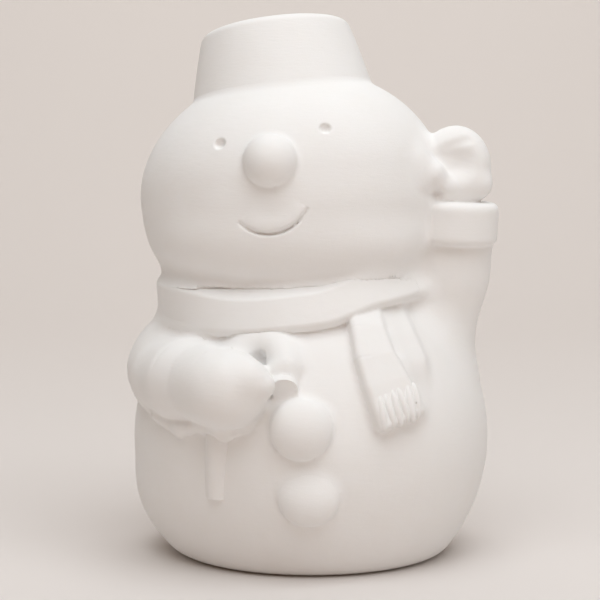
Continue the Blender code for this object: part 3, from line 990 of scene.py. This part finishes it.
def bisqueClay(name, look):
    # unglazed white fired clay: chalky, faintly sponged, with a few pinholes
    material = bpy.data.materials.new(name)
    material.use_nodes = True
    tree = material.node_tree
    link = tree.links.new
    shader = tree.nodes["Principled BSDF"]
    shader.inputs["Subsurface Weight"].default_value = 0.04
    shader.inputs["Subsurface Radius"].default_value = (0.0016, 0.0012, 0.0009)
    shader.inputs["Subsurface Scale"].default_value = 1.0
    shader.inputs["Specular IOR Level"].default_value = 0.28
    coords = addNode(tree, "ShaderNodeTexCoord")
    shift = addNode(tree, "ShaderNodeMapping")
    shift.inputs["Location"].default_value = [v * mm for v in look["shift"]]
    link(coords.outputs["Object"], shift.inputs["Vector"])

    cloud = addNode(tree, "ShaderNodeTexNoise", Scale=look["cloud"], Detail=4.0, Roughness=0.55)
    link(shift.outputs["Vector"], cloud.inputs["Vector"])
    tint = addNode(tree, "ShaderNodeValToRGB")
    tint.color_ramp.elements[0].position = 0.3
    tint.color_ramp.elements[0].color = (*look["shade"], 1.0)
    tint.color_ramp.elements[1].position = 0.72
    tint.color_ramp.elements[1].color = (*look["white"], 1.0)
    link(cloud.outputs["Fac"], tint.inputs["Fac"])

    # pinholes left by air in the slip, their insides painted a dark warm brown as shade
    cells = addNode(tree, "ShaderNodeTexVoronoi", Scale=look["pinholes"])
    link(shift.outputs["Vector"], cells.inputs["Vector"])
    rare = addNode(tree, "ShaderNodeSeparateColor")
    link(cells.outputs["Color"], rare.inputs["Color"])
    chosen = addNode(tree, "ShaderNodeMath", operation="GREATER_THAN")
    chosen.inputs[1].default_value = look["pinholeShare"]
    link(rare.outputs["Red"], chosen.inputs[0])
    pit = addNode(tree, "ShaderNodeMapRange", interpolation_type="SMOOTHSTEP")
    pit.inputs["From Min"].default_value = 0.02
    pit.inputs["From Max"].default_value = 0.05
    pit.inputs["To Min"].default_value = 1.0
    pit.inputs["To Max"].default_value = 0.0
    link(cells.outputs["Distance"], pit.inputs["Value"])
    hole = addNode(tree, "ShaderNodeMath", operation="MULTIPLY")
    link(pit.outputs["Result"], hole.inputs[0])
    link(chosen.outputs["Value"], hole.inputs[1])
    # painted shade: the pinhole insides are mixed towards a dark warm brown
    pinholeShade = addNode(tree, "ShaderNodeMix", data_type="RGBA")
    pinholeShade.inputs["B"].default_value = (0.42, 0.37, 0.31, 1.0)
    link(hole.outputs["Value"], pinholeShade.inputs["Factor"])
    link(tint.outputs["Color"], pinholeShade.inputs["A"])
    link(pinholeShade.outputs["Result"], shader.inputs["Base Color"])

    rough = addNode(tree, "ShaderNodeMapRange")
    rough.inputs["To Min"].default_value = look["rough"][0]
    rough.inputs["To Max"].default_value = look["rough"][1]
    link(cloud.outputs["Fac"], rough.inputs["Value"])
    link(rough.outputs["Result"], shader.inputs["Roughness"])

    # sponge strokes run level round the piece; grain is the clay itself
    level = addNode(tree, "ShaderNodeMapping")
    level.inputs["Scale"].default_value = (1.0, 1.0, look["strokeSquash"])
    link(shift.outputs["Vector"], level.inputs["Vector"])
    strokes = addNode(tree, "ShaderNodeTexNoise", Scale=look["strokes"], Detail=3.0, Roughness=0.6)
    link(level.outputs["Vector"], strokes.inputs["Vector"])
    grain = addNode(tree, "ShaderNodeTexNoise", Scale=look["grain"], Detail=5.0, Roughness=0.7)
    link(shift.outputs["Vector"], grain.inputs["Vector"])
    waves = addNode(tree, "ShaderNodeTexNoise", Scale=look["waves"], Detail=2.0, Roughness=0.5)
    link(shift.outputs["Vector"], waves.inputs["Vector"])
    last = None
    for source, height in (
        (waves.outputs["Fac"], look["waveHeight"]),
        (strokes.outputs["Fac"], look["strokeHeight"]),
        (grain.outputs["Fac"], look["grainHeight"]),
        (hole.outputs["Value"], -0.25),
    ):
        bump = addNode(tree, "ShaderNodeBump")
        bump.invert = height < 0
        bump.inputs["Strength"].default_value = 1.0
        bump.inputs["Distance"].default_value = abs(height) * mm
        link(source, bump.inputs["Height"])
        if last is not None:
            link(last.outputs["Normal"], bump.inputs["Normal"])
        last = bump
    link(last.outputs["Normal"], shader.inputs["Normal"])
    return material


clayLook = {
    "white": (0.874, 0.870, 0.864),
    "shade": (0.860, 0.852, 0.840),
    "cloud": 60.0,
    "pinholes": 95.0,
    "pinholeShare": 0.965,
    "rough": (0.80, 0.93),
    "strokes": 260.0,
    "strokeSquash": 4.0,
    "strokeHeight": 0.055,
    "grain": 2600.0,
    "grainHeight": 0.03,
    "waves": 130.0,
    "waveHeight": 0.16,
    "shift": (0.0, 0.0, 0.0),
}
pieceLook = {
    "bodyShell": {"waveHeight": 0.16},
    "headShell": {"waveHeight": 0.10, "shift": (31, 7, 3)},
    "hatShell": {"strokeHeight": 0.05, "strokeSquash": 7.0, "shift": (3, 41, 9)},
    "nose": {"waveHeight": 0.05, "shift": (11, 2, 70)},
    "upperButton": {"shift": (9, 90, 4)},
    "lowerButton": {"shift": (57, 9, 8)},
    "scarfCollar": {"strokeSquash": 2.0, "shift": (8, 61, 5)},
    "scarfTail": {"shift": (2, 5, 33)},
    "scarfFringe": {"shift": (2, 5, 37)},
    "scarfUnderTail": {"shift": (72, 5, 3)},
    "rightArm": {"waveHeight": 0.2, "shift": (6, 66, 6)},
    "rightMitten": {"waveHeight": 0.2, "shift": (5, 6, 78)},
    "candyCane": {"strokeHeight": 0.02, "shift": (13, 5, 51)},
    "leftArm": {"waveHeight": 0.2, "shift": (41, 25, 1)},
    "leftCuff": {"shift": (19, 15, 81)},
    "leftMitten": {"waveHeight": 0.15, "shift": (91, 35, 1)},
}
clay = {name: bisqueClay(name + "Bisque", {**clayLook, **look}) for name, look in pieceLook.items()}
print("stage: clay mixed")

wheel, rolling, fringing = wheelTree(), rollTree(), strandTree()

# hat: closed profile, outer wall up and over the rim, then the inside of the wall
hatTurning = 12.0
slope = (hat["baseRadius"] - hat["topRadius"]) / hat["height"]
profile = [(0.0, hat["height"] + 0.15)]
profile += [(r, hat["height"] + 0.15 - 0.15 * (r / 20) ** 2) for r in np.linspace(2, 19, 9)]
rimTurns = np.radians(np.linspace(88, 12, 9))
rimMiddle = (hat["topRadius"] + 0.55 - hat["rim"], hat["height"] - hat["rim"])
rim, foot, top = hat["rim"], hat["baseRadius"], hat["topRadius"]
profile += [(rimMiddle[0] + rim * cos(a), rimMiddle[1] + rim * sin(a)) for a in rimTurns]
heights = np.linspace(hat["height"] - 4.0, 0.0, 15)
profile += [(foot - slope * z + 0.12 * sin(pi * z / 17), z) for z in heights]
profile += [(foot + 0.3, -1.6), (foot + 0.2, -3.0), (foot - 3.0, -4.6), (foot - hat["wall"], -3.0)]
profile += [(top - hat["wall"], 15.0), (top - 6.0, 16.9), (0.0, 16.9)]
guide = guideCurve("hatProfile", [(r - hatTurning, -z, 0.0) for r, z in profile], closed=True)
madePieces["hatShell"] = growPiece(
    "hatShell",
    guide,
    wheel,
    {"Turning radius": hatTurning * mm, "Sides": 160, "Clay": clay["hatShell"]},
    placing(hat["base"], hat["axes"]),
)

# collar: the core outline pushed out by its rounding, one small arc at each corner
profile = []
core = collar["core"]
for k, (u, v) in enumerate(core):
    before, after = core[k - 1], core[(k + 1) % len(core)]
    start = np.arctan2(u - before[0], before[1] - v)
    end = np.arctan2(after[0] - u, v - after[1])
    end -= 2 * pi * (end > start)
    for a in np.linspace(start, end, 9):
        profile.append((u + collar["rounding"] * cos(a), -v - collar["rounding"] * sin(a), 0.0))
guide = guideCurve("collarProfile", profile, closed=True)
madePieces["scarfCollar"] = growPiece(
    "scarfCollar",
    guide,
    wheel,
    {"Turning radius": collar["ring"] * mm, "Sides": 200, "Clay": clay["scarfCollar"]},
    placing(collar["middle"], collar["axes"]),
)

ringMesh = madePieces["scarfCollar"].data
points = np.array([v.co for v in ringMesh.vertices]) / mm - footMiddle
local = (points - collar["middle"]) @ collar["axes"]
stretch = collar["stretch"] * ramp(-local[:, 0], 12.0, 38.0)
rise = collarLift(local[:, 0]) + stretch * np.maximum(local[:, 2], 0.0)
points += np.outer(rise, collar["axes"][:, 2])
points -= np.outer(collar["lean"] * np.maximum(local[:, 2] + rise, 0.0), collar["axes"][:, 0])
ringMesh.vertices.foreach_set("co", ((points + footMiddle) * mm).ravel())
ringMesh.update()

guide = guideCurve("caneRoute", caneRoute)
madePieces["candyCane"] = growPiece(
    "candyCane",
    guide,
    rolling,
    {"Steps": 110, "Thickness": cane["radius"] * mm, "Sides": 48, "Clay": clay["candyCane"]},
    placing((0, 0, 0), np.eye(3)),
)

# fringe: the hem's own axes run across the cloth, down it, and out of the body
fringe = {
    "strands": 6,
    "width": 12.0,
    "size": (1.42, 5.4, 1.9),
    "hem": (23.5, 51.0),
    "lift": 3.15,
    "unevenness": 0.12,
    "seed": 5,
}
hemMiddle = onBody(*fringe["hem"], fringe["lift"])
hemOut = unit(hemMiddle - bodyMiddle)
hemDown = unit(onBody(24.9, 46.9) - onBody(22.4, 56.3))
hemAcross = unit(np.cross(hemDown, hemOut))
hemDown = np.cross(hemOut, hemAcross)
hemLine = [(s * fringe["width"] / 2, 0.5 * s, -0.35 * s * s) for s in np.linspace(-1, 1, 9)]
guide = guideCurve("hemLine", hemLine)
madePieces["scarfFringe"] = growPiece(
    "scarfFringe",
    guide,
    fringing,
    {
        "Strands": fringe["strands"],
        "Strand size": Vector(fringe["size"]) * mm,
        "Unevenness": fringe["unevenness"],
        "Seed": fringe["seed"],
        "Clay": clay["scarfFringe"],
    },
    placing(hemMiddle, np.stack([hemAcross, hemDown, hemOut], 1)),
)
print("stage: hat, collar, cane and fringe made")

standsFor = {name: plan["nodes"] for name, plan in skinned.items()}
standsFor["hatShell"] = ["hat_shell"]
standsFor["scarfCollar"] = ["scarf_collar"]
standsFor["candyCane"] = ["candy_cane"]
standsFor["scarfFringe"] = ["scarf_tail"]
for name, piece in madePieces.items():
    piece.data.materials.clear()
    piece.data.materials.append(clay[name])
    for node in standsFor[name]:
        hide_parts(node)
    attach(piece, "root")
    print(f"stage: {name} placed, {len(piece.data.polygons)} faces")

# studio

studio = {
    "floorColor": (0.74, 0.70, 0.675),
    "floorReach": 2.6,
    "sweep": 0.9,
    "camera": (-3.4, -580.0, 128.0),
    "aim": (-3.4, 0.0, 78.0),
    "lens": 112.4,
    "roomColor": (1.0, 0.80, 0.62),
    "roomStrength": 0.22,
}


def makeSweep():
    # floor that curves up behind into the backdrop
    wide, back, bend = studio["floorReach"], studio["floorReach"] * 0.6, studio["sweep"]
    rows = [(-studio["floorReach"], 0.0), (-0.3, 0.0), (0.3, 0.0), (back - bend, 0.0)]
    turns = np.linspace(0.1, pi / 2, 16)
    rows += [(back - bend + bend * sin(a), bend - bend * cos(a)) for a in turns]
    rows.append((back, 3.0))
    points = [Vector((x, y, z)) for y, z in rows for x in (-wide, wide)]
    faces = [(2 * k, 2 * k + 1, 2 * k + 3, 2 * k + 2) for k in range(len(rows) - 1)]
    mesh = bpy.data.meshes.new("floorSweep")
    mesh.from_pydata(points, [], faces)
    mesh.polygons.foreach_set("use_smooth", [True] * len(mesh.polygons))
    floor = bpy.data.objects.new("floorSweep", mesh)
    bpy.context.scene.collection.objects.link(floor)
    paper = bpy.data.materials.new("palePaper")
    paper.use_nodes = True
    shader = paper.node_tree.nodes["Principled BSDF"]
    shader.inputs["Base Color"].default_value = (*studio["floorColor"], 1.0)
    shader.inputs["Roughness"].default_value = 0.9
    shader.inputs["Specular IOR Level"].default_value = 0.15
    mesh.materials.append(paper)
    return floor


makeSweep()


def softBox(name, place, aim, size, power, color):
    data = bpy.data.lights.new(name, "AREA")
    data.shape = "RECTANGLE"
    data.size, data.size_y = size
    data.energy = power
    data.color = color
    lamp = bpy.data.objects.new(name, data)
    lamp.location = Vector(place)
    lamp.rotation_euler = (Vector(aim) - Vector(place)).to_track_quat("-Z", "Y").to_euler()
    bpy.context.scene.collection.objects.link(lamp)
    return lamp


coolWhite = (0.92, 0.965, 1.0)
towardsBody = (0, 0, 0.08)
softBoxes = {  # place, aim, size, power, colour
    "topBox": ((0.1, -0.62, 1.22), towardsBody, (1.4, 1.1), 14.0, coolWhite),
    "rightBox": ((1.3, -0.7, 0.7), towardsBody, (0.9, 0.9), 2.6, coolWhite),
    "leftBox": ((-1.3, -0.5, 1.0), towardsBody, (0.9, 0.9), 1.2, coolWhite),
    "crownBox": ((0.0, 0.1, 1.4), towardsBody, (1.0, 1.0), 2.6, coolWhite),
    "backdropBox": ((0.0, 0.7, 1.5), (0, 1.7, 0.6), (1.6, 0.4), 9.0, (1.0, 0.99, 0.98)),
    "floorGlow": ((0.05, -1.0, 0.1), (0, 0, 0.05), (1.4, 0.16), 0.6, (1.0, 0.48, 0.22)),
}
for name, (place, aim, size, power, color) in softBoxes.items():
    softBox(name, place, aim, size, power, color)

world = bpy.data.worlds.new("paleRoom")
world.use_nodes = True
room = world.node_tree.nodes["Background"]
room.inputs["Color"].default_value = (*studio["roomColor"], 1.0)
room.inputs["Strength"].default_value = studio["roomStrength"]
bpy.context.scene.world = world
bpy.context.scene.view_settings.view_transform = "Standard"

cameraData = bpy.data.cameras.new("camera")
cameraData.lens = studio["lens"]
cameraData.sensor_width = 36.0
cameraData.clip_start = 0.01
camera = bpy.data.objects.new("camera", cameraData)
camera.location = Vector((np.array(studio["camera"]) + footMiddle) * mm)
aim = Vector((np.array(studio["aim"]) + footMiddle) * mm)
camera.rotation_euler = (aim - camera.location).to_track_quat("-Z", "Y").to_euler()
bpy.context.scene.collection.objects.link(camera)
bpy.context.scene.camera = camera
print("stage: studio set")
